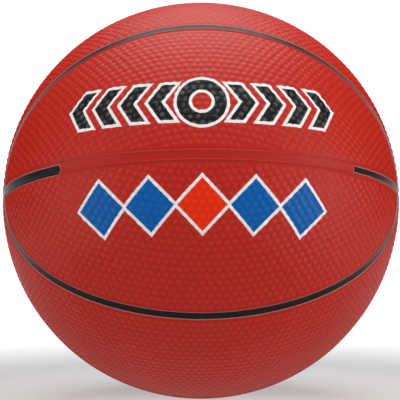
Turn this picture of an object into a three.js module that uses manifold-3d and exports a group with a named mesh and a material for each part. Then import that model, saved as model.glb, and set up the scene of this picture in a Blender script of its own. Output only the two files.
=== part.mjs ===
// A mini basketball of moulded rubber, laid up in layers: an air bladder with its valve, a thread
// winding, a rubber carcass, eight cover panels and the channel strips that lie between the panels.
// Millimetres, +Z up. The origin is the centre of the ball, and the valve looks along +Y.

import * as THREE from 'three';
import { mergeVertices } from 'three/addons/utils/BufferGeometryUtils.js';
import Module from 'manifold-3d';

const wasm = await Module();
wasm.setup();

// Ball and layers, from the outside in
const BALL_DIAMETER = 139.7;
const PANEL_THICKNESS = 1.4;
const STRIP_THICKNESS = 1.05;
const COVER_GAP = 0.4;
const CARCASS_THICKNESS = 0.6;
const WINDING_THICKNESS = 0.5;
const BLADDER_THICKNESS = 0.7;
const LAYER_GAP = 0.2;

// Channels: their width between two panels, and the play at each side of the strip on their floor
const CHANNEL_WIDTH = 2.5;
const STRIP_PLAY = 0.3;

// Oval channels, as angles seen from the centre of the ball, and the roundness of their outline
const OVAL_HALF_LENGTH_DEG = 76.3;
const OVAL_HALF_WIDTH_DEG = 43.2;
const OVAL_POWER = 1.92;

// How far the channel pattern leans back about X, so that the front oval looks a little upwards
const PATTERN_TILT_DEG = 11.8;

// Valve core: a headed rubber plug with a needle hole that stops short of its inner end
const CORE_RADIUS = 2.4;
const CORE_LENGTH = 13;
const HEAD_OVERHANG = 1.0;
const HEAD_THICKNESS = 1.2;
const NEEDLE_HOLE_RADIUS = 0.5;
const NEEDLE_HOLE_DEPTH = 10;
const CORE_PLAY = 0.25;
const HEAD_SEAT_PLAY = 0.2;

// Valve housing: a flanged tube that the core is pushed into, and the patch round it
const HOUSING_WALL = 0.95;
const HOUSING_TAIL = 1.0;
const FLANGE_OVERHANG = 6.4;
const FLANGE_THICKNESS = 1.0;
const PATCH_OVERHANG = 4.4;
const VALVE_RECESS = 0.5;
const VALVE_PLAY = 0.3;

// Facets
const SHELL_SEGMENTS = 24;
const SHELL_FAR_STEPS = 12;
const SHELL_NEAR_STEPS = 3;
const VALVE_SEGMENTS = 24;
const FLANGE_STEPS = 3;
const RING_SEGMENTS = 60;
const PANEL_COLUMNS = 28;
const PANEL_ROWS = 6;
const STRIP_COLUMNS = 30;

// Radii of the layers
const ballRadius = BALL_DIAMETER / 2;
const panelInner = ballRadius - PANEL_THICKNESS;
const stripOuter = panelInner + STRIP_THICKNESS;
const carcassOuter = panelInner - COVER_GAP;
const carcassInner = carcassOuter - CARCASS_THICKNESS;
const windingOuter = carcassInner - LAYER_GAP;
const windingInner = windingOuter - WINDING_THICKNESS;
const bladderOuter = windingInner - LAYER_GAP;
const bladderInner = bladderOuter - BLADDER_THICKNESS;
const flangeOuter = bladderInner - LAYER_GAP;
const flangeInner = flangeOuter - FLANGE_THICKNESS;

// Radii and heights of the valve, measured from its axis and along it
const headRadius = CORE_RADIUS + HEAD_OVERHANG;
const seatRadius = headRadius + CORE_PLAY;
const boreRadius = CORE_RADIUS + CORE_PLAY;
const stemRadius = seatRadius + HOUSING_WALL;
const stemHoleRadius = stemRadius + VALVE_PLAY;
const flangeRadius = stemRadius + FLANGE_OVERHANG;
const patchRadius = stemRadius + PATCH_OVERHANG;
const windingHoleRadius = patchRadius + VALVE_PLAY;
const valveTop = ballRadius - VALVE_RECESS;
const seatHeight = valveTop - HEAD_THICKNESS - HEAD_SEAT_PLAY;
const coreBottom = valveTop - CORE_LENGTH;
const housingBottom = coreBottom - HOUSING_TAIL;

// Angles of the channel pattern
const ovalLong = THREE.MathUtils.degToRad(OVAL_HALF_LENGTH_DEG);
const ovalShort = THREE.MathUtils.degToRad(OVAL_HALF_WIDTH_DEG);
const patternTilt = THREE.MathUtils.degToRad(PATTERN_TILT_DEG);
const channelHalf = CHANNEL_WIDTH / 2 / ballRadius;
const stripHalf = (CHANNEL_WIDTH / 2 - STRIP_PLAY) / ballRadius;

// Finishes
const finishes = {
  cover: { color: 0xac3129, roughness: 0.55, metalness: 0 },
  channelPaint: { color: 0x1d2020, roughness: 0.4, metalness: 0 },
  carcass: { color: 0x2d2a28, roughness: 0.8, metalness: 0 },
  thread: { color: 0xd9d3c2, roughness: 0.9, metalness: 0 },
  bladder: { color: 0x17181a, roughness: 0.6, metalness: 0 },
  valve: { color: 0x1b1b1c, roughness: 0.5, metalness: 0 },
};

function piece(name, geometry, finish) {
  const mesh = new THREE.Mesh(geometry, new THREE.MeshStandardMaterial(finishes[finish]));
  mesh.name = name;
  return mesh;
}

// Closed solids and their cuts

function positionsOnly(geometry) {
  const bare = geometry.clone();
  bare.deleteAttribute('normal');
  bare.deleteAttribute('uv');
  return mergeVertices(bare);
}

function toSolid(geometry) {
  const merged = positionsOnly(geometry);
  const vertProperties = new Float32Array(merged.attributes.position.array);
  const triVerts = new Uint32Array(merged.index.array);
  return new wasm.Manifold(new wasm.Mesh({ numProp: 3, vertProperties, triVerts }));
}

function toGeometry(solid) {
  const mesh = solid.getMesh();
  const geometry = new THREE.BufferGeometry();
  geometry.setAttribute('position', new THREE.BufferAttribute(mesh.vertProperties, mesh.numProp));
  geometry.setIndex(new THREE.BufferAttribute(mesh.triVerts, 1));
  geometry.computeVertexNormals();
  return geometry;
}

function dropCollapsed(geometry) {
  const merged = mergeVertices(geometry);
  const old = merged.index.array;
  const kept = [];
  for (let k = 0; k < old.length; k += 3) {
    const [a, b, c] = [old[k], old[k + 1], old[k + 2]];
    if (a !== b && b !== c && c !== a) kept.push(a, b, c);
  }
  merged.setIndex(kept);
  merged.computeVertexNormals();
  return merged;
}

// Solid over a grid of unit directions, between two radii, with walls round the grid's border
function patchSolid(grid, innerRadius, outerRadius) {
  const rows = grid.length - 1;
  const columns = grid[0].length - 1;
  const layer = (rows + 1) * (columns + 1);
  const outer = (i, j) => i * (columns + 1) + j;
  const inner = (i, j) => layer + outer(i, j);

  const positions = [];
  for (const radius of [outerRadius, innerRadius]) {
    for (const direction of grid.flat()) positions.push(...direction.clone().multiplyScalar(radius));
  }

  const triangles = [];
  const quad = (a, b, c, d) => triangles.push(a, b, c, a, c, d);
  for (let i = 0; i < rows; i += 1) {
    for (let j = 0; j < columns; j += 1) {
      quad(outer(i, j), outer(i + 1, j), outer(i + 1, j + 1), outer(i, j + 1));
      quad(inner(i, j), inner(i, j + 1), inner(i + 1, j + 1), inner(i + 1, j));
    }
    quad(outer(i + 1, 0), outer(i, 0), inner(i, 0), inner(i + 1, 0));
    quad(outer(i, columns), outer(i + 1, columns), inner(i + 1, columns), inner(i, columns));
  }
  for (let j = 0; j < columns; j += 1) {
    quad(outer(rows, j + 1), outer(rows, j), inner(rows, j), inner(rows, j + 1));
    quad(outer(0, j), outer(0, j + 1), inner(0, j + 1), inner(0, j));
  }

  // A grid that runs clockwise as seen from outside has its faces turned round
  const i = Math.floor(rows / 2);
  const j = Math.floor(columns / 2);
  const along = grid[i + 1][j].clone().sub(grid[i][j]);
  const across = grid[i][j + 1].clone().sub(grid[i][j]);
  if (along.cross(across).dot(grid[i][j]) < 0) triangles.reverse();

  const geometry = new THREE.BufferGeometry();
  geometry.setAttribute('position', new THREE.Float32BufferAttribute(positions, 3));
  geometry.setIndex(triangles);
  return dropCollapsed(geometry);
}

// Layers round the air space, turned about the valve axis

function arcPoints(radius, fromAngle, toAngle, steps) {
  const points = [];
  for (let k = 0; k <= steps; k += 1) {
    const angle = fromAngle + ((toAngle - fromAngle) * k) / steps;
    points.push(new THREE.Vector2(radius * Math.sin(angle), radius * Math.cos(angle)));
  }
  return points;
}

function angleAt(distanceFromAxis, radius) {
  return Math.asin(distanceFromAxis / radius);
}

// Fine steps run from the valve to past the flange and the patch, and the same coarse ones run on from there
const nearAngle = angleAt(Math.max(flangeRadius, windingHoleRadius) + VALVE_PLAY, flangeInner);

function shellArc(radius, holeRadius) {
  const near = arcPoints(radius, angleAt(holeRadius, radius), nearAngle, SHELL_NEAR_STEPS);
  const far = arcPoints(radius, nearAngle, Math.PI, SHELL_FAR_STEPS);
  far[SHELL_FAR_STEPS].x = 0;
  return [...near, ...far.slice(1)];
}

function shell(innerRadius, outerRadius, holeRadius) {
  const outside = shellArc(outerRadius, holeRadius).reverse();
  const inside = shellArc(innerRadius, holeRadius);
  return dropCollapsed(positionsOnly(new THREE.LatheGeometry([...outside, ...inside], SHELL_SEGMENTS)));
}

function turned(profile, segments) {
  return dropCollapsed(positionsOnly(new THREE.LatheGeometry(profile, segments)));
}

function curvedRing(innerRadius, outerRadius, fromDistance, toDistance) {
  const under = arcPoints(
    innerRadius, angleAt(fromDistance, innerRadius), angleAt(toDistance, innerRadius), FLANGE_STEPS);
  const over = arcPoints(
    outerRadius, angleAt(toDistance, outerRadius), angleAt(fromDistance, outerRadius), FLANGE_STEPS);
  return { under, over };
}

// Valve pieces

function housing() {
  const { under, over } = curvedRing(flangeInner, flangeOuter, stemRadius, flangeRadius);
  const start = new THREE.Vector2(boreRadius, housingBottom);
  return turned([
    start,
    new THREE.Vector2(stemRadius, housingBottom),
    ...under,
    ...over,
    new THREE.Vector2(stemRadius, valveTop),
    new THREE.Vector2(seatRadius, valveTop),
    new THREE.Vector2(seatRadius, seatHeight),
    new THREE.Vector2(boreRadius, seatHeight),
    start.clone(),
  ], VALVE_SEGMENTS);
}

function core() {
  return turned([
    new THREE.Vector2(0, coreBottom),
    new THREE.Vector2(CORE_RADIUS, coreBottom),
    new THREE.Vector2(CORE_RADIUS, valveTop - HEAD_THICKNESS),
    new THREE.Vector2(headRadius, valveTop - HEAD_THICKNESS),
    new THREE.Vector2(headRadius, valveTop),
    new THREE.Vector2(NEEDLE_HOLE_RADIUS, valveTop),
    new THREE.Vector2(NEEDLE_HOLE_RADIUS, valveTop - NEEDLE_HOLE_DEPTH),
    new THREE.Vector2(0, valveTop - NEEDLE_HOLE_DEPTH),
  ], VALVE_SEGMENTS);
}

function patch() {
  const { under, over } = curvedRing(windingInner, windingOuter, stemHoleRadius, patchRadius);
  return turned([...under, ...over, under[0].clone()], VALVE_SEGMENTS);
}

// Channel pattern. In its own axes the equator channel lies in the XY plane, the meridian channel in
// the XZ plane, and the two ovals look along -Y and +Y. A direction is given by its distance from the
// front oval's centre and its turn round it, from +X towards +Z.

function direction(distance, turn) {
  const side = Math.sin(distance);
  return new THREE.Vector3(side * Math.cos(turn), -Math.cos(distance), side * Math.sin(turn));
}

function ovalDistance(turn) {
  const along = (Math.abs(Math.cos(turn)) / ovalLong) ** OVAL_POWER;
  const across = (Math.abs(Math.sin(turn)) / ovalShort) ** OVAL_POWER;
  return (along + across) ** (-1 / OVAL_POWER);
}

// The oval moved outwards, square to itself, by an angle
function ovalEdge(turn, outwards) {
  const step = 1e-4;
  const distance = ovalDistance(turn);
  const slope = (ovalDistance(turn + step) - ovalDistance(turn - step)) / (2 * step);
  return distance + outwards * Math.hypot(1, slope / Math.sin(distance));
}

// Turn at which a line round the oval meets the edge of the equator channel
function endTurn(distanceAt) {
  const rounds = 30;
  let turn = channelHalf;
  for (let k = 0; k < rounds; k += 1) turn = Math.asin(Math.sin(channelHalf) / Math.sin(distanceAt(turn)));
  return turn;
}

// Turns from the left end to the right one, closer together where the oval bends most
function ovalTurns(end, columns) {
  const first = Math.atan2(ovalLong * Math.sin(end), ovalShort * Math.cos(end));
  return Array.from({ length: columns + 1 }, (_, k) => {
    const share = Math.PI - first - ((Math.PI - 2 * first) * k) / columns;
    return Math.atan2(ovalShort * Math.sin(share), ovalLong * Math.cos(share));
  });
}

function evenTurns(end, columns) {
  return Array.from({ length: columns + 1 }, (_, k) => Math.PI - end - ((Math.PI - 2 * end) * k) / columns);
}

// Half of the inside of an oval: columns climb from the equator channel to the oval channel
function ovalPanelGrid() {
  const edge = (turn) => ovalEdge(turn, -channelHalf);
  return ovalTurns(endTurn(edge), PANEL_COLUMNS).map((turn) => {
    const rim = direction(edge(turn), turn);
    const longitude = Math.atan2(rim.x, -rim.y);
    const top = Math.asin(rim.z);
    return Array.from({ length: PANEL_ROWS + 1 }, (_, row) => {
      const latitude = channelHalf + ((top - channelHalf) * row) / PANEL_ROWS;
      return new THREE.Vector3(
        Math.cos(latitude) * Math.sin(longitude),
        -Math.cos(latitude) * Math.cos(longitude),
        Math.sin(latitude));
    });
  });
}

// Crescent from an oval channel out to the meridian channel
function crescentPanelGrid() {
  const meridian = Math.PI / 2 - channelHalf;
  const lines = Array.from({ length: PANEL_ROWS + 1 }, (_, row) => {
    const share = row / PANEL_ROWS;
    const distanceAt = (turn) => THREE.MathUtils.lerp(ovalEdge(turn, channelHalf), meridian, share);
    const end = endTurn(distanceAt);
    const bunched = ovalTurns(end, PANEL_COLUMNS);
    const even = evenTurns(end, PANEL_COLUMNS);
    return bunched.map((turn, k) => {
      const between = THREE.MathUtils.lerp(turn, even[k], share);
      return direction(distanceAt(between), between);
    });
  });
  return lines[0].map((_, column) => lines.map((line) => line[column]));
}

function ovalStripGrid() {
  const lines = [-stripHalf, stripHalf].map((offset) => {
    const edge = (turn) => ovalEdge(turn, offset);
    return ovalTurns(endTurn(edge), STRIP_COLUMNS).map((turn) => direction(edge(turn), turn));
  });
  return lines[0].map((start, column) => [start, lines[1][column]]);
}

function meridianStripGrid() {
  const lines = [-stripHalf, stripHalf].map((offset) => {
    const distance = Math.PI / 2 + offset;
    return evenTurns(endTurn(() => distance), STRIP_COLUMNS).map((turn) => direction(distance, turn));
  });
  return lines[0].map((start, column) => [start, lines[1][column]]);
}

function equatorStrip() {
  const corner = (radius, latitude) =>
    new THREE.Vector2(radius * Math.cos(latitude), radius * Math.sin(latitude));
  const start = corner(panelInner, -stripHalf);
  const ring = turned([
    start,
    corner(stripOuter, -stripHalf),
    corner(stripOuter, stripHalf),
    corner(panelInner, stripHalf),
    start.clone(),
  ], RING_SEGMENTS);
  return ring.rotateX(Math.PI / 2);
}

// The same grid on another quarter of the ball
function mirrored(grid, front, upper) {
  const scale = new THREE.Vector3(1, front ? 1 : -1, upper ? 1 : -1);
  return grid.map((line) => line.map((point) => point.clone().multiply(scale)));
}

// Hole through the cover for the valve, in the pattern's own axes
function valveCut() {
  const height = 2 * (PANEL_THICKNESS + VALVE_RECESS);
  const cut = new THREE.CylinderGeometry(stemHoleRadius, stemHoleRadius, height, VALVE_SEGMENTS);
  return cut.translate(0, ballRadius - height / 2 + VALVE_RECESS, 0).rotateX(patternTilt);
}

// Assembly

const ball = new THREE.Group();

ball.add(piece('bladder', shell(bladderInner, bladderOuter, stemHoleRadius), 'bladder'));
ball.add(piece('valve_housing', housing(), 'valve'));
ball.add(piece('valve_core', core(), 'valve'));
ball.add(piece('valve_patch', patch(), 'bladder'));
ball.add(piece('thread_winding', shell(windingInner, windingOuter, windingHoleRadius), 'thread'));
ball.add(piece('carcass', shell(carcassInner, carcassOuter, stemHoleRadius), 'carcass'));

const cover = new THREE.Group();
cover.rotation.x = -patternTilt;
ball.add(cover);

const quarters = [
  { place: 'front_upper', front: true, upper: true },
  { place: 'front_lower', front: true, upper: false },
  { place: 'back_upper', front: false, upper: true },
  { place: 'back_lower', front: false, upper: false },
];

for (const { place, front, upper } of quarters) {
  const ovalPanel = patchSolid(mirrored(ovalPanelGrid(), front, upper), panelInner, ballRadius);
  const holed = !front && upper;
  const ovalShape = holed ? toGeometry(toSolid(ovalPanel).subtract(toSolid(valveCut()))) : ovalPanel;
  cover.add(piece(`oval_panel_${place}`, ovalShape, 'cover'));

  const crescent = patchSolid(mirrored(crescentPanelGrid(), front, upper), panelInner, ballRadius);
  cover.add(piece(`crescent_panel_${place}`, crescent, 'cover'));

  const strip = patchSolid(mirrored(ovalStripGrid(), front, upper), panelInner, stripOuter);
  cover.add(piece(`oval_strip_${place}`, strip, 'channelPaint'));
}

for (const upper of [true, false]) {
  const strip = patchSolid(mirrored(meridianStripGrid(), true, upper), panelInner, stripOuter);
  cover.add(piece(`meridian_strip_${upper ? 'upper' : 'lower'}`, strip, 'channelPaint'));
}

cover.add(piece('equator_strip', equatorStrip(), 'channelPaint'));

export default ball;
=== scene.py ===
import math

import bmesh
import bpy
import numpy as np
from mathutils import Matrix, Vector
from mathutils.kdtree import KDTree


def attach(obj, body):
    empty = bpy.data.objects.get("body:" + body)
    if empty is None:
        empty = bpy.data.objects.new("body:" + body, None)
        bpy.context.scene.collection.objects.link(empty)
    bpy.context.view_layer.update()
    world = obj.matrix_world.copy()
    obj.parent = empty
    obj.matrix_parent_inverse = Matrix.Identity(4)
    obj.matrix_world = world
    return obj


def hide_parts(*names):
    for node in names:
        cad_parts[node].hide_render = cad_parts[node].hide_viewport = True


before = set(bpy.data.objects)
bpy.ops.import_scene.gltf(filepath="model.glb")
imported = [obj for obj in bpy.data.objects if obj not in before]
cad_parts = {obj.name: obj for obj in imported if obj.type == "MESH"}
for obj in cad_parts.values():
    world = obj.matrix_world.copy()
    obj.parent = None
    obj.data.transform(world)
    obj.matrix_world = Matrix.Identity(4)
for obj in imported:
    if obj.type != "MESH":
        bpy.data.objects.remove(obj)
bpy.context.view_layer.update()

MM = 0.001
RANDOM_SEED = 12
chance = np.random.default_rng(RANDOM_SEED)

# Ball and channel pattern, as in the solids
BALL_RADIUS = 69.85 * MM
PANEL_THICKNESS = 1.4 * MM
CHANNEL_HALF_WIDTH = 1.25 * MM
OVAL_HALF_LENGTH = math.radians(76.3)
OVAL_HALF_WIDTH = math.radians(43.2)
OVAL_POWER = 1.92
PATTERN_TILT = math.radians(11.8)

# Section beside a channel, as depths below the ball's radius and distances from a panel's edge
CHANNEL_DEPTH = 0.15 * MM
CHANNEL_DISH = 0.05 * MM
LIP_DEPTH = 0.02 * MM
LIP_CREST = 0.30 * MM
LIP_FOOT = 0.75 * MM
GROOVE_DEPTH = 0.08 * MM
GROOVE_PLACE = 0.72 * MM
GROOVE_REACH = 0.22 * MM
LIP_STEPS = np.array([0, 0.06, 0.13, 0.21, 0.30, 0.40, 0.52, 0.66, 0.82, 1.0]) * MM
LIP_ROOM = 4
CORNER_BLEND = 0.2 * MM

# Pebbles
PEBBLE_PITCH = 2.5 * MM
ROW_PITCH = 2.17 * MM
PEBBLE_RADIUS = 1.22 * MM
PEBBLE_HEIGHT = 0.25 * MM
PEBBLE_POWER = 1.5
PEBBLE_JITTER = 0.10 * MM
PEBBLE_SIZE_SPREAD = 0.06
FIRST_ROW = 2.0 * MM
ROW_SLACK = 0.1 * ROW_PITCH
PEBBLE_MARGIN = 1.2 * MM
PEBBLE_FADE = (0.9 * MM, 1.9 * MM)

# Channel paint, as distances along and across the equator channel from the middle of the front
PAINT_HALF_WIDTH = 1.2 * MM
PAINT_LEFT_END = -49.3 * MM
PAINT_RIGHT_END = 54.6 * MM
PAINT_LEFT_EDGES = (-2.2 * MM, 0.85 * MM)
PAINT_LEFT_ROUNDING = 1.5 * MM
PAINT_RIGHT_EDGES = (-1.1 * MM, 0.85 * MM)

# Distance inside the paint that stands for a surface without any, as on the underside of the cover
BARE_REACH = -1.0 * MM

# Valve, as in the solids, from its axis and along it from the ball's centre
VALVE_HOLE_RADIUS = 4.9 * MM
STEM_RADIUS = 4.6 * MM
SEAT_RADIUS = 3.65 * MM
HEAD_RADIUS = 3.4 * MM
BORE_RADIUS = 2.65 * MM
CORE_RADIUS = 2.4 * MM
NEEDLE_RADIUS = 0.5 * MM
FLANGE_RADIUS = 11.0 * MM
VALVE_TOP = 69.35 * MM
HEAD_UNDER = 68.15 * MM
SEAT_HEIGHT = 67.95 * MM
FLANGE_OUTER = 65.65 * MM
FLANGE_INNER = 64.65 * MM
NEEDLE_END = 59.35 * MM
CORE_BOTTOM = 56.35 * MM
HOUSING_BOTTOM = 55.35 * MM

# Valve details that the solids leave out, and the drill for the valve's hole in its panel
FUNNEL_RADIUS = 0.95 * MM
VALVE_ROUNDING = 0.25 * MM
ROUNDING_STEPS = 5
ROUNDING_LIMIT = 0.45
DRILL_LENGTH = 4 * PANEL_THICKNESS

# Steps of the meshes and of the working out of curves
OVAL_PANEL_STEPS = (570, 156)
CRESCENT_PANEL_STEPS = (560, 156)
UNDERSIDE_ROWS = 8
STRIP_STEPS = (300, 12)
RING_STEPS = (560, 12)
TURN_STEPS = 96
CURVE_SAMPLES = 4000
SHARE_SAMPLES = 33
END_ROUNDS = 30
SLOPE_STEP = 1e-4
SHARP_ANGLE = math.radians(50)

# Print on the front panels, in millimetres along and above the equator channel
MARK_HEIGHT = 18.0
RING_RADII = (4.2, 8.2)
CHEVRON_FIRST = 15.5
CHEVRON_STEP = 9.6
CHEVRON_COUNT = 4
CHEVRON_HALF_HEIGHT = 6.4
CHEVRON_HALF_WIDTH = 2.3
CHEVRON_SLOPE = 0.7
LOZENGE_HEIGHT = -15.5
LOZENGE_STEP = 17.0
LOZENGE_HALF_COUNT = 2
LOZENGE_HALF_WIDTH = 8.0
LOZENGE_HALF_HEIGHT = 8.4
OUTLINE_WIDTH = 1.0
INK_SOFTNESS = 0.08

# Colours, linear
# The first is painted shade for the rubber between the pebbles
RUBBER_VALLEY_PAINTED_SHADE = (0.32, 0.0066, 0.0004)
RUBBER_DEEP = (0.39, 0.0088, 0.0006)
RUBBER_CREST = (0.42, 0.0105, 0.0010)
PAINT_BLACK = (0.004, 0.005, 0.005)
PAINT_WORN = (0.012, 0.012, 0.011)
# Painted highlight along the border of the channel paint
PAINT_BORDER_PAINTED_HIGHLIGHT = (0.42, 0.21, 0.19)
INK_BLACK = (0.005, 0.0055, 0.0055)
# Worn black ink with a painted glint
INK_RUBBED_AND_GLINT = (0.062, 0.058, 0.056)
INK_WHITE = (0.72, 0.68, 0.67)
INK_BLUE = (0.001, 0.086, 0.315)
INK_ORANGE = (0.67, 0.024, 0.002)
VALVE_BLACK = (0.011, 0.011, 0.012)
BUTYL_BLACK = (0.009, 0.009, 0.010)
CARCASS_GREY = (0.026, 0.023, 0.021)
THREAD_CREAM = (0.69, 0.65, 0.54)

# Finish of the cover, with paint lengths in millimetres
COVER_SPECULAR = 0.2
CREST_SPECULAR_GAIN = 0.03
COATED_SPECULAR_DROP = 0.12
COVER_ROUGHNESS = 0.43
ROUGHNESS_SPREAD = 0.1
COATED_ROUGHNESS_DROP = 0.17
CREST_SPAN = (-0.05, 0.95)
MOTTLE_SPAN = (0.3, 0.7)
WEAR_SPAN = (0.45, 0.75)
RUB_AND_GLINT_SPAN = (0.35, 0.6)
EDGE_WAVER = 0.3
PAINT_BORDER_HIGHLIGHT_SPAN = (-0.35, -0.1)
PAINT_BORDER_HIGHLIGHT_SHARE = 0.6
PAINT_SOFTNESS = 0.06
PAINT_BLOOM = 0.5
PAINT_BLOOM_ROUGHNESS = 0.3
# Share of each ink's colour kept between the pebbles, as painted shade
INK_PAINTED_VALLEY_SHADE_SHARE = 0.86
GRAIN_HEIGHT = 0.02 * MM

# Finish of the hidden rubber and the thread
PLAIN_SPECULAR = 0.4
VALVE_ROUGHNESS = 0.4
BLADDER_ROUGHNESS = 0.45
PATCH_ROUGHNESS = 0.5
CARCASS_ROUGHNESS = 0.65
PALER_GAIN = 1.6
PALER_LIFT = 0.004
PALER_SPAN = (0.4, 0.75)
PLAIN_ROUGHNESS_SPREAD = 0.15
THREAD_SPECULAR = 0.3
THREAD_TURNS = (0.5, -0.6)
THREAD_WAVER = 1.5
THREAD_UNEVENNESS = 0.2
THREAD_VALLEY_SHARE = 0.5
THREAD_ROUGHNESS = 0.65
THREAD_ROUGHNESS_SPREAD = 0.2
THREAD_HEIGHT = 0.1 * MM

# Scales of the patterns in the finishes, per metre
MOTTLE_SCALE = 45
ROUGHNESS_SCALE = 300
RUB_AND_GLINT_SCALE = 500
PAINT_EDGE_SCALE = 700
CREST_SCALE = 900
WEAR_SCALE = 1100
PRINT_EDGE_SCALE = 1400
GRAIN_SCALE = 5000
PALER_SCALE = 400
PLAIN_ROUGHNESS_SCALE = 250
PLAIN_GRAIN_SCALE = 3000
THREAD_SCALE = 500
THREAD_BAND_SCALE = 30

# Lights, as name, place, width and power
LIGHTS = [
    ("over", (0.1, -0.35, 1.0), 0.9, 1.8),
    ("top", (0, 0.2, 0.96), 1.1, 11.0),
    ("right", (0.9, -0.35, 0.05), 0.7, 5.2),
    ("left", (-0.9, -0.35, 0.0), 0.7, 3.5),
]

# Walls: their glow below and above, in front and behind, and the spans over which it changes
WALL_FRONT = (0.08, 1.05)
WALL_BACK = (0.05, 0.08)
WALL_DEPTHS = (-0.3, 0.4)
WALL_HEIGHTS = (-0.3, 0.7)

# Paper floor and card: sizes, paleness, glow, and the distances between which the glow changes
PAPER_WIDTH = 0.62
PAPER_LENGTH = 2.2
PAPER_END = 1.3
PAPER_SPECULAR = 0.1
PAPER_ROUGHNESS = 0.8
FLOOR_PALE = 0.4
UNDER_GLOW = 0.36
UNDER_REACH = (0.08, 0.14)
FAR_GLOW = 0.75
FAR_REACH = (0.1, 0.32)
SPOT_GLOW = 0.24
SPOT_PLACE = (0, -0.055, -BALL_RADIUS)
SPOT_REACH = (0.03, 0.08)
CARD_HEIGHT = 0.36
CARD_PALE = 0.2
CARD_GLOW = 1.0

# Camera, with lengths in the image in pixels and the sensor in millimetres
CAMERA_DISTANCE = 7.41 * BALL_RADIUS
CAMERA_YAW = math.radians(0.4)
CAMERA_ROLL = math.radians(-0.25)
IMAGE_SIDE = 400
BALL_RADIUS_IN_IMAGE = 198.3
BALL_CENTRE_IN_IMAGE = (200.86, 200.69)
SENSOR_WIDTH = 36.0

channel_half = CHANNEL_HALF_WIDTH / BALL_RADIUS
panel_inner = BALL_RADIUS - PANEL_THICKNESS
pattern_turn = np.array(Matrix.Rotation(-PATTERN_TILT, 3, "X"))
valve_axis = np.array([0, 1, 0]) @ pattern_turn

QUARTERS = {
    "front_upper": np.array([1, 1, 1]),
    "front_lower": np.array([1, 1, -1]),
    "back_upper": np.array([1, -1, 1]),
    "back_lower": np.array([1, -1, -1]),
}


# Channel pattern, with the equator channel at height 0 and the meridian channel at depth 0

def direction(distance, turn):
    """Direction at a distance from the front oval's centre and a turn round it, from the right to the top"""
    side = np.sin(distance)
    depth = -np.cos(distance) + 0 * turn
    return np.stack([side * np.cos(turn), depth, side * np.sin(turn)], axis=-1)


def on_globe(longitude, latitude):
    """Direction at a longitude from the middle of the front and a latitude from the equator channel"""
    level = np.cos(latitude)
    height = np.sin(latitude) + 0 * longitude
    return np.stack([level * np.sin(longitude), -level * np.cos(longitude), height], axis=-1)


def oval_distance(turn):
    """Distance of the oval channel's middle line from the oval's centre"""
    along = (np.abs(np.cos(turn)) / OVAL_HALF_LENGTH) ** OVAL_POWER
    across = (np.abs(np.sin(turn)) / OVAL_HALF_WIDTH) ** OVAL_POWER
    return (along + across) ** (-1 / OVAL_POWER)


def oval_slant(turn):
    """How much longer the way to the oval is along its radius than square to it"""
    change = oval_distance(turn + SLOPE_STEP) - oval_distance(turn - SLOPE_STEP)
    slope = change / (2 * SLOPE_STEP)
    return np.hypot(1, slope / np.sin(oval_distance(turn)))


def oval_edge(turn, outwards):
    """Distance, from the oval's centre, of a line that runs beside the oval"""
    return oval_distance(turn) + outwards * oval_slant(turn)


def end_turn(distance_at):
    """Turn at which a line round the oval meets the edge of the equator channel"""
    turn = channel_half
    for _ in range(END_ROUNDS):
        turn = np.arcsin(np.sin(channel_half) / np.sin(distance_at(turn)))
    return turn


def lengths_along(points):
    """Length of a line up to each of its points"""
    steps = np.linalg.norm(np.diff(points, axis=0), axis=1)
    return np.concatenate([[0], np.cumsum(steps)])


def spread(lengths, steps):
    """Places from 0 to each length: close together over the lips at both ends, and even between them.
    The lips narrow where a length has room for fewer than LIP_ROOM of them."""
    lengths = np.atleast_1d(lengths)[:, None]
    near = LIP_STEPS * np.minimum(1, lengths / (LIP_ROOM * LIP_STEPS[-1]))
    share = np.linspace(0, 1, steps - 2 * len(LIP_STEPS) + 3)[1:-1]
    middle = near[:, -1:] + (lengths - 2 * near[:, -1:]) * share
    return np.hstack([near, middle, lengths - near[:, ::-1]])


def oval_panel_grid():
    """Half of the inside of an oval: each column climbs from the equator channel to the oval channel"""
    columns, rows = OVAL_PANEL_STEPS
    end = end_turn(lambda turn: oval_edge(turn, -channel_half))
    fine = np.linspace(math.pi - end, end, CURVE_SAMPLES)
    passed = lengths_along(direction(oval_edge(fine, -channel_half), fine))
    turns = np.interp(np.linspace(0, passed[-1], columns + 1), passed, fine)
    rim = direction(oval_edge(turns, -channel_half), turns)
    longitude = np.arctan2(rim[:, 0], -rim[:, 1])[:, None]
    climb = np.maximum(np.arcsin(rim[:, 2]) - channel_half, 0) * BALL_RADIUS
    return on_globe(longitude, channel_half + spread(climb, rows) / BALL_RADIUS)


def crescent_panel_grid():
    """Crescent from an oval channel out to the meridian channel, both ends on the equator channel"""
    columns, rows = CRESCENT_PANEL_STEPS
    meridian = math.pi / 2 - channel_half

    def distance_at(turn, share):
        return oval_edge(turn, channel_half) * (1 - share) + meridian * share

    shares = np.linspace(0, 1, SHARE_SAMPLES)
    ends = np.array([end_turn(lambda turn: distance_at(turn, share)) for share in shares])
    fine = np.linspace(0, math.pi, CURVE_SAMPLES)
    passed = lengths_along(direction(oval_edge(fine, channel_half), fine))
    full_length = passed[-1] * BALL_RADIUS
    along = spread(full_length, columns)[0][:, None] / full_length

    def bunched_turn(end):
        first = np.interp(end, fine, passed)
        last = np.interp(math.pi - end, fine, passed)
        return np.interp(last + (first - last) * along, passed, fine)

    widths = (meridian - oval_edge(bunched_turn(ends[0])[:, 0], channel_half)) * BALL_RADIUS
    share = spread(widths, rows) / widths[:, None]
    end = np.interp(share, shares, ends)
    even_turn = math.pi - end - (math.pi - 2 * end) * along
    turn = bunched_turn(end) * (1 - share) + even_turn * share
    return direction(distance_at(turn, share), turn)


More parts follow.
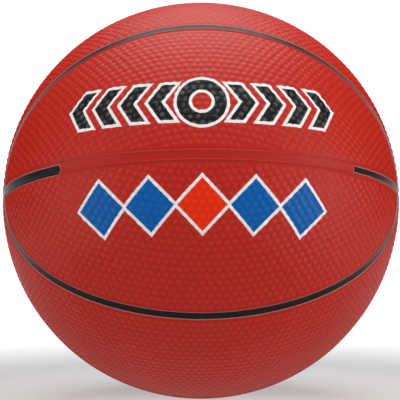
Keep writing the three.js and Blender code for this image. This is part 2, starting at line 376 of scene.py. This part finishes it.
def oval_strip_grid():
    along, across = STRIP_STEPS
    lines = []
    for offset in np.linspace(-channel_half, channel_half, across + 1):
        end = end_turn(lambda turn: oval_edge(turn, offset))
        fine = np.linspace(math.pi - end, end, CURVE_SAMPLES)
        passed = lengths_along(direction(oval_edge(fine, offset), fine))
        turns = np.interp(np.linspace(0, passed[-1], along + 1), passed, fine)
        lines.append(direction(oval_edge(turns, offset), turns))
    return np.stack(lines, axis=1)


def meridian_strip_grid():
    along, across = STRIP_STEPS
    lines = []
    for distance in math.pi / 2 + np.linspace(-channel_half, channel_half, across + 1):
        end = end_turn(lambda turn: distance)
        lines.append(direction(distance, np.linspace(math.pi - end, end, along + 1)))
    return np.stack(lines, axis=1)


def equator_strip_grid():
    along, across = RING_STEPS
    longitude = np.arange(along)[:, None] * 2 * math.pi / along
    return on_globe(longitude, np.linspace(-channel_half, channel_half, across + 1)[None, :])


# Distances on the ball, in metres, from the lines that bound the panels

def from_equator(points):
    return np.arcsin(np.clip(points[..., 2], -1, 1)) * BALL_RADIUS


def from_meridian(points):
    return np.arcsin(np.clip(np.abs(points[..., 1]), 0, 1)) * BALL_RADIUS


def from_oval(points):
    """Distance outwards from the nearer oval, nearly exact close to it"""
    distance = np.arccos(np.clip(np.abs(points[..., 1]), 0, 1))
    turn = np.arctan2(points[..., 2], points[..., 0])
    return (distance - oval_distance(turn)) / oval_slant(turn) * BALL_RADIUS


def from_valve(points):
    return np.arccos(np.clip(points @ valve_axis, -1, 1)) * BALL_RADIUS


def along_equator(points):
    return np.arctan2(points[..., 0], -points[..., 1]) * BALL_RADIUS


def soft_least(distances):
    """The least of several distances, rounded off where two of them are alike"""
    return -CORNER_BLEND * np.log(sum(np.exp(-distance / CORNER_BLEND) for distance in distances))


def oval_panel_edge(points):
    return soft_least([
        np.abs(from_equator(points)) - CHANNEL_HALF_WIDTH,
        -from_oval(points) - CHANNEL_HALF_WIDTH,
        from_valve(points) - VALVE_HOLE_RADIUS,
    ])


def crescent_panel_edge(points):
    return soft_least([
        np.abs(from_equator(points)) - CHANNEL_HALF_WIDTH,
        from_oval(points) - CHANNEL_HALF_WIDTH,
        from_meridian(points) - CHANNEL_HALF_WIDTH,
    ])


def paint_reach(points):
    """Distance inside the edge of the channel paint, negative where the rubber is bare"""
    height = from_equator(points)
    place = along_equator(points)
    side = 0.5 * math.pi * BALL_RADIUS
    # The left end is a band with rounded corners
    middle = sum(PAINT_LEFT_EDGES) / 2
    past_end = place - PAINT_LEFT_END + PAINT_LEFT_ROUNDING
    past_edge = np.abs(height - middle) - PAINT_LEFT_EDGES[1] + middle + PAINT_LEFT_ROUNDING
    corner = np.hypot(np.maximum(past_end, 0), np.maximum(past_edge, 0))
    left = PAINT_LEFT_ROUNDING - corner - np.minimum(np.maximum(past_end, past_edge), 0)
    left = np.minimum(left, side + place)
    right = np.minimum.reduce([
        place - PAINT_RIGHT_END,
        side - place,
        height - PAINT_RIGHT_EDGES[0],
        PAINT_RIGHT_EDGES[1] - height,
    ])
    back = np.minimum(PAINT_HALF_WIDTH - np.abs(height), np.abs(place) - side)
    others = PAINT_HALF_WIDTH - np.minimum(np.abs(from_oval(points)), from_meridian(points))
    return np.maximum.reduce([left, right, back, others])


# Section of a panel, by distance from its edge

def smooth(share):
    """A soft step from 0 to 1"""
    share = np.clip(share, 0, 1)
    return share * share * (3 - 2 * share)


def ground_depth(edge):
    """Depth of the ground that the pebbles stand on: channel wall, rounded lip, fine groove, then level"""
    rise = np.sin(np.clip(edge / LIP_CREST, 0, 1) * math.pi / 2)
    lip = CHANNEL_DEPTH + (LIP_DEPTH - CHANNEL_DEPTH) * rise
    groove = GROOVE_DEPTH * np.exp(-((edge - GROOVE_PLACE) / GROOVE_REACH) ** 2)
    fall = smooth((edge - LIP_CREST) / (LIP_FOOT - LIP_CREST))
    return lip + groove + (PEBBLE_HEIGHT - LIP_DEPTH) * fall


# Pebbles stand in rows that run along the oval channels, on both sides of them

def pebble_rows(side, reach):
    """Rows on the outer side of an oval with side 1 or on its inner side with side -1"""
    turn = np.linspace(-math.pi, math.pi, 2 * CURVE_SAMPLES + 1)
    line = direction(oval_distance(turn), turn)
    along = np.gradient(line, axis=0)
    along /= np.linalg.norm(along, axis=1)[:, None]
    outward = side * np.cross(along, line)
    rows = []
    for k in range(int(reach * BALL_RADIUS / ROW_PITCH)):
        away = channel_half + (FIRST_ROW + k * ROW_PITCH) / BALL_RADIUS
        moved = (line * math.cos(away) + outward * math.sin(away))[CURVE_SAMPLES:]
        passed = lengths_along(moved) * BALL_RADIUS
        middle = passed[-1] / 2
        count = int(middle / PEBBLE_PITCH)
        places = middle + (np.arange(-count, count) + 0.5 * (k % 2)) * PEBBLE_PITCH
        row = np.stack([np.interp(places, passed, moved[:, axis]) for axis in range(3)], axis=-1)
        nearest = np.arccos(np.clip(np.max(row @ line.T, axis=1), -1, 1))
        rows.append(row[nearest > away - ROW_SLACK / BALL_RADIUS])
    return np.vstack(rows)


def settled(pebbles, edge_of):
    """The pebbles that stand clear of the edges, each a little out of line"""
    moved = pebbles + chance.normal(0, PEBBLE_JITTER / BALL_RADIUS, pebbles.shape)
    moved /= np.linalg.norm(moved, axis=1)[:, None]
    return moved[edge_of(moved) > PEBBLE_MARGIN]


def pebble_rise(points, pebbles):
    """Share of a pebble's height at each point"""
    tree = KDTree(len(pebbles))
    for index, place in enumerate(pebbles * BALL_RADIUS):
        tree.insert(place, index)
    tree.balance()
    sizes = PEBBLE_RADIUS * (1 + chance.normal(0, PEBBLE_SIZE_SPREAD, len(pebbles)))
    found = [tree.find(place) for place in (points * BALL_RADIUS).tolist()]
    nearest = np.array([index for _, index, _ in found])
    away = np.array([distance for _, _, distance in found])
    return np.clip(1 - (away / sizes[nearest]) ** 2, 0, 1) ** PEBBLE_POWER


# Meshes

def new_piece(name, vertices, faces, material):
    mesh = bpy.data.meshes.new(name)
    mesh.from_pydata(vertices.tolist(), [], faces)
    mesh.materials.append(material)
    piece = bpy.data.objects.new(name, mesh)
    bpy.context.scene.collection.objects.link(piece)
    return piece


def set_numbers(piece, name, values):
    attribute = piece.data.attributes.new(name, "FLOAT", "POINT")
    attribute.data.foreach_set("value", values.astype(np.float32))


def finish_mesh(piece):
    """Drops unused points, turns all faces outwards and shades all but the sharp edges smooth"""
    work = bmesh.new()
    work.from_mesh(piece.data)
    loose = [vertex for vertex in work.verts if not vertex.link_faces]
    bmesh.ops.delete(work, geom=loose, context="VERTS")
    bmesh.ops.recalc_face_normals(work, faces=work.faces)
    for face in work.faces:
        face.smooth = True
    work.to_mesh(piece.data)
    work.free()
    piece.data.set_sharp_from_angle(angle=SHARP_ANGLE)


def stands_for(piece, node, body):
    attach(piece, body)
    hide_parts(node)


def grid_quads(index):
    corners = index[:-1, :-1], index[1:, :-1], index[1:, 1:], index[:-1, 1:]
    return np.stack(corners, axis=-1).reshape(-1, 4)


def without_repeats(quads):
    faces = [list(dict.fromkeys(quad)) for quad in quads.tolist()]
    return [face for face in faces if len(face) > 2]


def closed_patch(outer, inner, ends):
    """Points and faces of a patch with a fine outside, a coarse underside and walls between them. Its
    first and last columns each end in one point, in a wall, or are joined into a ring."""
    columns, rows = outer.shape[:2]
    under = inner.shape[1]
    top = np.arange(columns * rows).reshape(columns, rows)
    low = columns * rows + np.arange(columns * under).reshape(columns, under)
    if ends == "points":
        top[[0, -1]] = top[[0, -1], :1]
        low[[0, -1]] = low[[0, -1], :1]
    if ends == "ring":
        top = np.vstack([top, top[:1]])
        low = np.vstack([low, low[:1]])
    faces = without_repeats(np.vstack([
        grid_quads(top),
        grid_quads(low)[:, ::-1],
        grid_quads(np.stack([low[:, 0], top[:, 0]], axis=1)),
        grid_quads(np.stack([top[:, -1], low[:, -1]], axis=1)),
    ]))
    if ends == "walls":
        faces.append(top[0].tolist() + low[0, ::-1].tolist())
        faces.append(top[-1, ::-1].tolist() + low[-1].tolist())
    return np.vstack([outer.reshape(-1, 3), inner.reshape(-1, 3)]), faces


def cover_piece(name, grid, radius, rise, under_rows, ends, material):
    """A patch of the cover over a grid of directions, with the numbers that its material reads:
    the share of a pebble's height, and lengths in millimetres"""
    outer = (grid * radius[..., None]) @ pattern_turn.T
    coarse = np.linspace(0, grid.shape[1] - 1, under_rows + 1).round().astype(int)
    inner = (grid[:, coarse] * panel_inner) @ pattern_turn.T
    vertices, faces = closed_patch(outer, inner, ends)
    piece = new_piece(name, vertices, faces, material)
    numbers = {
        "pebble": rise,
        "paint": paint_reach(grid) / MM,
        "print_along": along_equator(grid) / MM,
        "print_up": from_equator(grid) / MM,
    }
    for number, values in numbers.items():
        under = values[:, coarse]
        if number == "paint":
            under = np.full_like(under, BARE_REACH / MM)
        set_numbers(piece, number, np.concatenate([values.ravel(), under.ravel()]))
    return piece


def add_panel(name, base_grid, edge_of, base_pebbles, quarter, ends, material, holed=False):
    grid = base_grid * QUARTERS[quarter]
    edge = edge_of(grid)
    pebbles = settled(base_pebbles * QUARTERS[quarter], edge_of)
    fade = smooth((edge - PEBBLE_FADE[0]) / (PEBBLE_FADE[1] - PEBBLE_FADE[0]))
    rise = pebble_rise(grid.reshape(-1, 3), pebbles).reshape(edge.shape) * fade
    radius = BALL_RADIUS - ground_depth(edge) + rise * PEBBLE_HEIGHT
    piece = cover_piece(name + "_rubber", grid, radius, rise, UNDERSIDE_ROWS, ends, material)
    if holed:
        cut_valve_hole(piece)
    finish_mesh(piece)
    stands_for(piece, name, "ball")


def cut_valve_hole(piece):
    bpy.ops.mesh.primitive_cylinder_add(
        vertices=TURN_STEPS, radius=VALVE_HOLE_RADIUS, depth=DRILL_LENGTH,
        location=(0, panel_inner, 0), rotation=(math.pi / 2, 0, 0))
    drill = bpy.context.object
    cut = piece.modifiers.new("valve_hole", "BOOLEAN")
    cut.operation = "DIFFERENCE"
    cut.solver = "MANIFOLD"
    cut.object = drill
    graph = bpy.context.evaluated_depsgraph_get()
    piece.data = bpy.data.meshes.new_from_object(piece.evaluated_get(graph))
    piece.modifiers.clear()
    bpy.data.objects.remove(drill)


def add_strip(name, base_grid, quarter, ends, material):
    grid = base_grid * QUARTERS[quarter]
    across = np.linspace(-1, 1, grid.shape[1])
    level = np.zeros(grid.shape[:2])
    radius = BALL_RADIUS - CHANNEL_DEPTH - CHANNEL_DISH * (1 - across ** 2) + level
    piece = cover_piece(name + "_rubber", grid, radius, level, 1, ends, material)
    finish_mesh(piece)
    stands_for(piece, name, "ball")


# Valve pieces, turned about the valve axis

def rounded(corners, radius):
    """An outline with each of its inner corners turned into a small curve"""
    corners = np.array(corners)
    points = [corners[0]]
    for before, corner, after in zip(corners[:-2], corners[1:-1], corners[2:]):
        back = before - corner
        onward = after - corner
        shorter = min(np.linalg.norm(back), np.linalg.norm(onward))
        reach = min(radius, ROUNDING_LIMIT * shorter)
        start = corner + back / np.linalg.norm(back) * reach
        end = corner + onward / np.linalg.norm(onward) * reach
        for share in np.linspace(0, 1, ROUNDING_STEPS):
            points.append(start * (1 - share) ** 2 + corner * 2 * share * (1 - share) + end * share ** 2)
    return np.array(points + [corners[-1]])


def turned_piece(name, outline, material):
    """A solid of revolution. An outline that starts on the axis is open, and another is closed."""
    radius, height = outline.T
    angle = np.arange(TURN_STEPS)[:, None] * 2 * math.pi / TURN_STEPS
    points = np.stack([radius * np.cos(angle), height + 0 * angle, radius * np.sin(angle)], axis=-1)
    index = np.arange(TURN_STEPS * len(outline)).reshape(TURN_STEPS, -1)
    index[:, radius == 0] = index[:1, radius == 0]
    if radius[0] > 0:
        index[:, -1] = index[:, 0]
    faces = without_repeats(grid_quads(np.vstack([index, index[:1]])))
    piece = new_piece(name, points.reshape(-1, 3), faces, material)
    finish_mesh(piece)
    return piece


def at_distance(radius, distance):
    """Point of a ball's section at a distance from the valve axis"""
    return (distance, math.sqrt(radius ** 2 - distance ** 2))


def add_valve(material):
    start = (BORE_RADIUS, 0.5 * (SEAT_HEIGHT + HOUSING_BOTTOM))
    housing = rounded([
        start,
        (BORE_RADIUS, HOUSING_BOTTOM),
        (STEM_RADIUS, HOUSING_BOTTOM),
        at_distance(FLANGE_INNER, STEM_RADIUS),
        at_distance(FLANGE_INNER, FLANGE_RADIUS),
        at_distance(FLANGE_OUTER, FLANGE_RADIUS),
        at_distance(FLANGE_OUTER, STEM_RADIUS),
        (STEM_RADIUS, VALVE_TOP),
        (SEAT_RADIUS, VALVE_TOP),
        (SEAT_RADIUS, SEAT_HEIGHT),
        (BORE_RADIUS, SEAT_HEIGHT),
        start,
    ], VALVE_ROUNDING)
    piece = turned_piece("valve_housing_rubber", housing, material)
    stands_for(piece, "valve_housing", "ball")
    core = rounded([
        (0, CORE_BOTTOM),
        (CORE_RADIUS, CORE_BOTTOM),
        (CORE_RADIUS, HEAD_UNDER),
        (HEAD_RADIUS, HEAD_UNDER),
        (HEAD_RADIUS, VALVE_TOP),
        (FUNNEL_RADIUS, VALVE_TOP),
        (NEEDLE_RADIUS, VALVE_TOP - FUNNEL_RADIUS),
        (NEEDLE_RADIUS, NEEDLE_END),
        (0, NEEDLE_END),
    ], VALVE_ROUNDING)
    piece = turned_piece("valve_core_rubber", core, material)
    stands_for(piece, "valve_core", "valve_core")


# Materials

class Field:
    """A number that changes over a surface, worked out by a material's nodes"""

    def __init__(self, socket):
        self.socket = socket
        self.tree = socket.id_data

    def apply(self, operation, other=None):
        node = self.tree.nodes.new("ShaderNodeMath")
        node.operation = operation
        self.tree.links.new(self.socket, node.inputs[0])
        if isinstance(other, Field):
            self.tree.links.new(other.socket, node.inputs[1])
        elif other is not None:
            node.inputs[1].default_value = other
        return Field(node.outputs[0])

    def __add__(self, other):
        return self.apply("ADD", other)

    def __sub__(self, other):
        return self.apply("SUBTRACT", other)

    def __mul__(self, other):
        return self.apply("MULTIPLY", other)

    def __neg__(self):
        return self.apply("MULTIPLY", -1)

    def __abs__(self):
        return self.apply("ABSOLUTE")

    def least(self, other):
        return self.apply("MINIMUM", other)

    def most(self, other):
        return self.apply("MAXIMUM", other)

    def ramp(self, low, high, to_low=0, to_high=1):
        node = self.tree.nodes.new("ShaderNodeMapRange")
        node.interpolation_type = "SMOOTHSTEP"
        self.tree.links.new(self.socket, node.inputs["Value"])
        values = {"From Min": low, "From Max": high, "To Min": to_low, "To Max": to_high}
        for name, value in values.items():
            node.inputs[name].default_value = value
        return Field(node.outputs["Result"])

    def mix(self, first, second):
        """Colour that goes from the first to the second as the number goes from 0 to 1"""
        node = self.tree.nodes.new("ShaderNodeMix")
        node.data_type = "RGBA"
        self.tree.links.new(self.socket, node.inputs[0])
        # The node's colour sockets share their names with others, so they go by number
        for socket, color in zip((node.inputs[6], node.inputs[7]), (first, second)):
            if isinstance(color, tuple):
                socket.default_value = (*color, 1)
            else:
                self.tree.links.new(color, socket)
        return node.outputs[2]


class Finish:
    """A material with one shader, and the fields that drive it"""

    def __init__(self, name, specular):
        self.material = bpy.data.materials.new(name)
        self.material.use_nodes = True
        self.tree = self.material.node_tree
        self.shader = self.tree.nodes["Principled BSDF"]
        self.shader.inputs["Specular IOR Level"].default_value = specular

    def number(self, name):
        node = self.tree.nodes.new("ShaderNodeAttribute")
        node.attribute_name = name
        return Field(node.outputs["Fac"])

    def noise(self, scale, detail=2):
        place = self.tree.nodes.new("ShaderNodeTexCoord")
        node = self.tree.nodes.new("ShaderNodeTexNoise")
        node.inputs["Scale"].default_value = scale
        node.inputs["Detail"].default_value = detail
        self.tree.links.new(place.outputs["Object"], node.inputs["Vector"])
        return Field(node.outputs["Fac"])

    def waver(self, scale):
        """A number that strays from 0 to both sides"""
        return self.noise(scale) * EDGE_WAVER - 0.5 * EDGE_WAVER

    def color(self, socket):
        self.tree.links.new(socket, self.shader.inputs["Base Color"])

    def roughness(self, field):
        self.tree.links.new(field.socket, self.shader.inputs["Roughness"])

    def specular(self, field):
        self.tree.links.new(field.socket, self.shader.inputs["Specular IOR Level"])

    def bloom(self, field, roughness):
        """Grey that shows where the surface is seen at a slant"""
        self.tree.links.new(field.socket, self.shader.inputs["Sheen Weight"])
        self.shader.inputs["Sheen Roughness"].default_value = roughness

    def bump(self, field, height):
        node = self.tree.nodes.new("ShaderNodeBump")
        node.inputs["Distance"].default_value = height
        self.tree.links.new(field.socket, node.inputs["Height"])
        self.tree.links.new(node.outputs["Normal"], self.shader.inputs["Normal"])


def upper_mark(along, up):
    """Distance inside the upper print: a ring with chevrons that point away from it on both sides"""
    height = up - MARK_HEIGHT
    distance = (along * along + height * height).apply("SQRT")
    ring = (distance - RING_RADII[0]).least(-distance + RING_RADII[1])
    march = abs(along) + abs(height) * CHEVRON_SLOPE - CHEVRON_FIRST
    nearest = (march * (1 / CHEVRON_STEP) + 0.5).apply("FLOOR").most(0).least(CHEVRON_COUNT - 1)
    bar = -abs(march - nearest * CHEVRON_STEP) + CHEVRON_HALF_WIDTH
    chevrons = (bar * math.cos(math.atan(CHEVRON_SLOPE))).least(-abs(height) + CHEVRON_HALF_HEIGHT)
    return ring.most(chevrons)


def lower_mark(along, up):
    """Distance inside the lower print: a row of lozenges"""
    nearest = (along * (1 / LOZENGE_STEP) + 0.5).apply("FLOOR")
    nearest = nearest.most(-LOZENGE_HALF_COUNT).least(LOZENGE_HALF_COUNT)
    across = abs(along - nearest * LOZENGE_STEP) * (1 / LOZENGE_HALF_WIDTH)
    height = abs(up - LOZENGE_HEIGHT) * (1 / LOZENGE_HALF_HEIGHT)
    scale = 1 / math.hypot(1 / LOZENGE_HALF_WIDTH, 1 / LOZENGE_HALF_HEIGHT)
    return (-(across + height) + 1) * scale


def printed(finish, color, crest):
    """The rubber's colour with the print over it, and where there is ink"""
    along = finish.number("print_along")
    up = finish.number("print_up")
    ragged = finish.waver(PRINT_EDGE_SCALE)
    upper = upper_mark(along, up) + ragged
    lower = lower_mark(along, up) + ragged

    # Painted shade: the inks turn darker between the pebbles
    def ink_with_painted_valley_shade(ink):
        return crest.mix(tuple(INK_PAINTED_VALLEY_SHADE_SHARE * part for part in ink), ink)

    ink = (upper.most(lower) + OUTLINE_WIDTH).ramp(-INK_SOFTNESS, INK_SOFTNESS)
    color = ink.mix(color, ink_with_painted_valley_shade(INK_WHITE))
    # Worn ink and painted glint: the black ink turns grey on the tops of some pebbles
    rubbed_and_glint = crest * finish.noise(RUB_AND_GLINT_SCALE).ramp(*RUB_AND_GLINT_SPAN)
    black = rubbed_and_glint.mix(INK_BLACK, INK_RUBBED_AND_GLINT)
    color = upper.ramp(-INK_SOFTNESS, INK_SOFTNESS).mix(color, black)
    centre = abs(along).ramp(0.5 * LOZENGE_STEP + INK_SOFTNESS, 0.5 * LOZENGE_STEP)
    filling = centre.mix(ink_with_painted_valley_shade(INK_BLUE), ink_with_painted_valley_shade(INK_ORANGE))
    return lower.ramp(-INK_SOFTNESS, INK_SOFTNESS).mix(color, filling), ink


def cover_material(name, with_print):
    """Pebbled rubber, duller between the pebbles and a deeper red there from painted shade, with paint and
    print where they are
    """
    finish = Finish(name, COVER_SPECULAR)
    crest = (finish.number("pebble") + finish.waver(CREST_SCALE)).ramp(*CREST_SPAN)
    color = finish.noise(MOTTLE_SCALE, detail=4).ramp(*MOTTLE_SPAN).mix(RUBBER_CREST, RUBBER_DEEP)
    # Painted shade: the rubber turns a darker red between the pebbles
    color = crest.mix(RUBBER_VALLEY_PAINTED_SHADE, color)
    reach = finish.number("paint") + finish.waver(PAINT_EDGE_SCALE)
    # Painted highlight: a thin pale line along the border of the paint
    color = reach.ramp(*PAINT_BORDER_HIGHLIGHT_SPAN, 0, PAINT_BORDER_HIGHLIGHT_SHARE).mix(color, PAINT_BORDER_PAINTED_HIGHLIGHT)
    paint = reach.ramp(-PAINT_SOFTNESS, PAINT_SOFTNESS)
    coated = paint
    if with_print:
        color, ink = printed(finish, color, crest)
        coated = paint.most(ink)
    black = finish.noise(WEAR_SCALE).ramp(*WEAR_SPAN).mix(PAINT_BLACK, PAINT_WORN)
    finish.color(paint.mix(color, black))
    uneven = finish.noise(ROUGHNESS_SCALE, detail=3) * ROUGHNESS_SPREAD
    finish.roughness(uneven + COVER_ROUGHNESS - coated * COATED_ROUGHNESS_DROP)
    finish.specular(crest * CREST_SPECULAR_GAIN - coated * COATED_SPECULAR_DROP + COVER_SPECULAR)
    finish.bloom(paint * PAINT_BLOOM, PAINT_BLOOM_ROUGHNESS)
    finish.bump(finish.noise(GRAIN_SCALE), GRAIN_HEIGHT)
    return finish.material


def plain_rubber(name, color, roughness):
    """Rubber of one colour with paler patches"""
    finish = Finish(name, PLAIN_SPECULAR)
    paler = tuple(PALER_GAIN * part + PALER_LIFT for part in color)
    finish.color(finish.noise(PALER_SCALE, detail=4).ramp(*PALER_SPAN).mix(color, paler))
    uneven = finish.noise(PLAIN_ROUGHNESS_SCALE, detail=3) * PLAIN_ROUGHNESS_SPREAD
    finish.roughness(uneven + roughness)
    finish.bump(finish.noise(PLAIN_GRAIN_SCALE), GRAIN_HEIGHT)
    return finish.material


def thread_material():
    """Thread wound in crossing bands"""
    finish = Finish("nylon_thread", THREAD_SPECULAR)
    height = finish.noise(THREAD_BAND_SCALE) * THREAD_UNEVENNESS
    for turn in THREAD_TURNS:
        place = finish.tree.nodes.new("ShaderNodeTexCoord")
        mapping = finish.tree.nodes.new("ShaderNodeMapping")
        mapping.inputs["Rotation"].default_value = (turn, 0, turn)
        wave = finish.tree.nodes.new("ShaderNodeTexWave")
        wave.inputs["Scale"].default_value = THREAD_SCALE
        wave.inputs["Distortion"].default_value = THREAD_WAVER
        finish.tree.links.new(place.outputs["Object"], mapping.inputs["Vector"])
        finish.tree.links.new(mapping.outputs["Vector"], wave.inputs["Vector"])
        height = height.most(Field(wave.outputs["Fac"]))
    shaded = tuple(THREAD_VALLEY_SHARE * part for part in THREAD_CREAM)
    finish.color(height.mix(shaded, THREAD_CREAM))
    finish.roughness(height * THREAD_ROUGHNESS_SPREAD + THREAD_ROUGHNESS)
    finish.bump(height, THREAD_HEIGHT)
    return finish.material


# Floor, backdrop, light and camera

def glowing(name, paleness):
    """Paper that gives off light of its own"""
    finish = Finish(name, PAPER_SPECULAR)
    finish.shader.inputs["Base Color"].default_value = (paleness, paleness, paleness, 1)
    finish.shader.inputs["Roughness"].default_value = PAPER_ROUGHNESS
    finish.shader.inputs["Emission Color"].default_value = (1, 1, 1, 1)
    return finish


def add_stage():
    """A sheet of pale paper: a floor that glows under the ball, in front of it and far from it, with a card
    at its far end"""
    bpy.ops.mesh.primitive_plane_add(size=1, location=(0, PAPER_END - PAPER_LENGTH / 2, -BALL_RADIUS))
    floor = bpy.context.object
    floor.name = "floor"
    floor.data.transform(Matrix.Diagonal((PAPER_WIDTH, PAPER_LENGTH, 1, 1)))
    finish = glowing("floor", FLOOR_PALE)
    place = finish.tree.nodes.new("ShaderNodeNewGeometry")

    def away_from(point):
        distance = finish.tree.nodes.new("ShaderNodeVectorMath")
        distance.operation = "DISTANCE"
        distance.inputs[1].default_value = point
        finish.tree.links.new(place.outputs["Position"], distance.inputs[0])
        return Field(distance.outputs["Value"])

    from_ball = away_from((0, 0, 0))
    glow = from_ball.ramp(*UNDER_REACH, UNDER_GLOW, 0) + from_ball.ramp(*FAR_REACH, 0, FAR_GLOW)
    glow = glow + away_from(SPOT_PLACE).ramp(*SPOT_REACH, SPOT_GLOW, 0)
    finish.tree.links.new(glow.socket, finish.shader.inputs["Emission Strength"])
    floor.data.materials.append(finish.material)
    bpy.ops.mesh.primitive_plane_add(
        size=1, location=(0, PAPER_END, CARD_HEIGHT / 2 - BALL_RADIUS), rotation=(math.pi / 2, 0, 0))
    card = bpy.context.object
    card.name = "white_card"
    card.data.transform(Matrix.Diagonal((PAPER_WIDTH, CARD_HEIGHT, 1, 1)))
    finish = glowing("white_card", CARD_PALE)
    finish.shader.inputs["Emission Strength"].default_value = CARD_GLOW
    card.data.materials.append(finish.material)


def add_light(name, place, size, power):
    lamp = bpy.data.lights.new(name, "AREA")
    lamp.shape = "DISK"
    lamp.size = size
    lamp.energy = power
    light = bpy.data.objects.new(name, lamp)
    light.location = place
    light.rotation_euler = (-Vector(place)).to_track_quat("-Z", "Y").to_euler()
    bpy.context.scene.collection.objects.link(light)


def add_world():
    """Walls that glow more in front of the ball than behind it, and more above it than below"""
    world = bpy.data.worlds.new("studio")
    world.use_nodes = True
    tree = world.node_tree
    place = tree.nodes.new("ShaderNodeTexCoord")
    parts = tree.nodes.new("ShaderNodeSeparateXYZ")
    tree.links.new(place.outputs["Generated"], parts.inputs[0])
    depth = Field(parts.outputs["Y"])
    height = Field(parts.outputs["Z"])
    front = depth.ramp(*WALL_DEPTHS, 1, 0) * height.ramp(*WALL_HEIGHTS, *WALL_FRONT)
    back = depth.ramp(*WALL_DEPTHS) * height.ramp(*WALL_HEIGHTS, *WALL_BACK)
    glow = front + back
    tree.links.new(glow.socket, tree.nodes["Background"].inputs["Strength"])
    tree.nodes["Background"].inputs["Color"].default_value = (1, 1, 1, 1)
    bpy.context.scene.world = world


def add_camera():
    lens = bpy.data.cameras.new("camera")
    focal = BALL_RADIUS_IN_IMAGE * math.sqrt((CAMERA_DISTANCE / BALL_RADIUS) ** 2 - 1)
    lens.sensor_width = SENSOR_WIDTH
    lens.lens = focal / IMAGE_SIDE * SENSOR_WIDTH
    camera = bpy.data.objects.new("camera", lens)
    camera.location = Matrix.Rotation(-CAMERA_YAW, 3, "Z") @ Vector((0, -CAMERA_DISTANCE, 0))
    per_pixel = CAMERA_DISTANCE / focal
    aim = Vector((
        (IMAGE_SIDE / 2 - BALL_CENTRE_IN_IMAGE[0]) * per_pixel,
        0,
        (BALL_CENTRE_IN_IMAGE[1] - IMAGE_SIDE / 2) * per_pixel,
    ))
    look = (aim - camera.location).to_track_quat("-Z", "Y").to_matrix()
    camera.rotation_euler = (look @ Matrix.Rotation(CAMERA_ROLL, 3, "Z")).to_euler()
    bpy.context.scene.collection.objects.link(camera)
    bpy.context.scene.camera = camera


# The scene

cover = cover_material("cover_rubber", False)
printed_cover = cover_material("printed_cover_rubber", True)
valve_rubber = plain_rubber("valve_rubber", VALVE_BLACK, VALVE_ROUGHNESS)
inner_finishes = {
    "bladder": plain_rubber("bladder_butyl", BUTYL_BLACK, BLADDER_ROUGHNESS),
    "valve_patch": plain_rubber("patch_butyl", BUTYL_BLACK, PATCH_ROUGHNESS),
    "thread_winding": thread_material(),
    "carcass": plain_rubber("carcass_rubber", CARCASS_GREY, CARCASS_ROUGHNESS),
}
for node, finish in inner_finishes.items():
    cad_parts[node].data.materials.clear()
    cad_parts[node].data.materials.append(finish)

oval_grid = oval_panel_grid()
oval_pebbles = pebble_rows(-1, OVAL_HALF_WIDTH)
crescent_grid = crescent_panel_grid()
crescent_pebbles = pebble_rows(1, math.pi / 2 - OVAL_HALF_WIDTH)
oval_strip = oval_strip_grid()
meridian_strip = meridian_strip_grid()
for quarter in QUARTERS:
    add_panel(
        "oval_panel_" + quarter, oval_grid, oval_panel_edge, oval_pebbles, quarter, "points",
        printed_cover if quarter.startswith("front") else cover, holed=quarter == "back_upper")
    add_panel(
        "crescent_panel_" + quarter, crescent_grid, crescent_panel_edge, crescent_pebbles, quarter,
        "walls", cover)
    add_strip("oval_strip_" + quarter, oval_strip, quarter, "walls", cover)
add_strip("meridian_strip_upper", meridian_strip, "front_upper", "walls", cover)
add_strip("meridian_strip_lower", meridian_strip, "front_lower", "walls", cover)
add_strip("equator_strip", equator_strip_grid(), "front_upper", "ring", cover)
add_valve(valve_rubber)

bpy.context.scene.view_settings.view_transform = "Standard"
add_stage()
for name, place, size, power in LIGHTS:
    add_light(name, place, size, power)
add_world()
add_camera()
